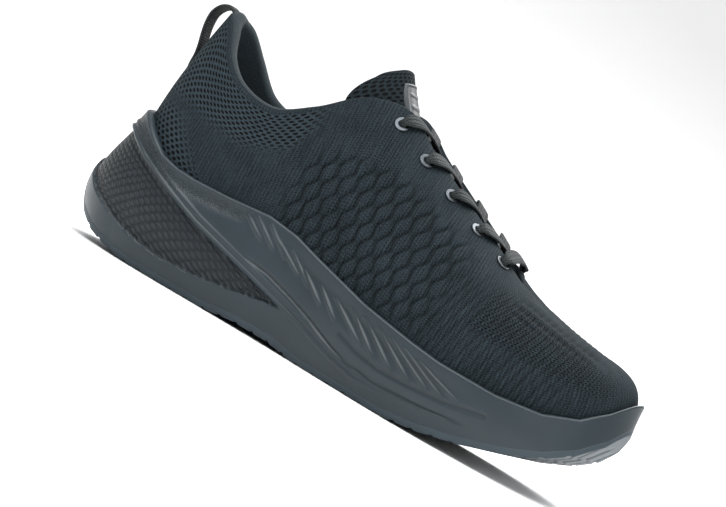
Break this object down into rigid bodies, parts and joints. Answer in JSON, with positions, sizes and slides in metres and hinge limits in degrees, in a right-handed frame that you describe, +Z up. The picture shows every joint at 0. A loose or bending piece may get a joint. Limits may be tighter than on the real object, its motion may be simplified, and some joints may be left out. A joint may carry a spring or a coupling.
{
  "type": "running shoe",
  "caption": "Low-cut knitted running shoe for the right foot with a sculpted one-piece foam sole, padded collar, laced throat and heel pull loop.",
  "frame": {"origin": "on the ground, under the middle of the shoe's length and width", "axes": "+X towards the toe, +Y towards the inner (medial) side, +Z up"},
  "size_m": [0.302, 0.1099, 0.152],
  "materials": {
    "knit": "fine ribbed polyester knit, matte",
    "open_mesh": "open three-layer mesh, matte",
    "lining": "plain knitted lining, matte",
    "webbing": "woven webbing",
    "lace_braid": "flat tubular braid",
    "lace_tip": "clear-coated black film",
    "padding": "open-cell foam",
    "insole_foam": "closed-cell foam",
    "midsole_foam": "moulded foam with fine grain, satin",
    "tread_rubber": "moulded rubber, matte",
    "board": "non-woven board",
    "stiffener": "thermoplastic sheet",
    "label": "moulded soft patch, satin",
    "eyelet_metal": "gunmetal plating"
  },
  "bodies": {
    "shoe": {"outsole": "tread_rubber", "midsole": "midsole_foam", "strobel_board": "board", "insole_foam": "insole_foam", "insole_cover": "lining", "upper_knit": "knit", "upper_lining": "lining", "heel_counter": "stiffener", "toe_puff": "stiffener", "collar_foam": "padding", "eyestay_lateral": "stiffener", "eyestay_medial": "stiffener", "heel_loop": "webbing", "eyelets_lateral": "eyelet_metal", "eyelets_medial": "eyelet_metal", "eyelet_washers_lateral": "eyelet_metal", "eyelet_washers_medial": "eyelet_metal", "lace": "lace_braid", "lace_tips": "lace_tip"},
    "tongue": {"tongue_face": "open_mesh", "tongue_foam": "padding", "tongue_lining": "lining", "tongue_label": "label"}
  },
  "joints": [
    {"name": "tongue_fold", "type": "hinge", "parent": "shoe", "child": "tongue", "pos_m": [0.0695, 0.0004, 0.079], "axis": [0, -1, 0], "range_deg": [0, 14], "stiffness_Nm_per_rad": 0.6}
  ]
}
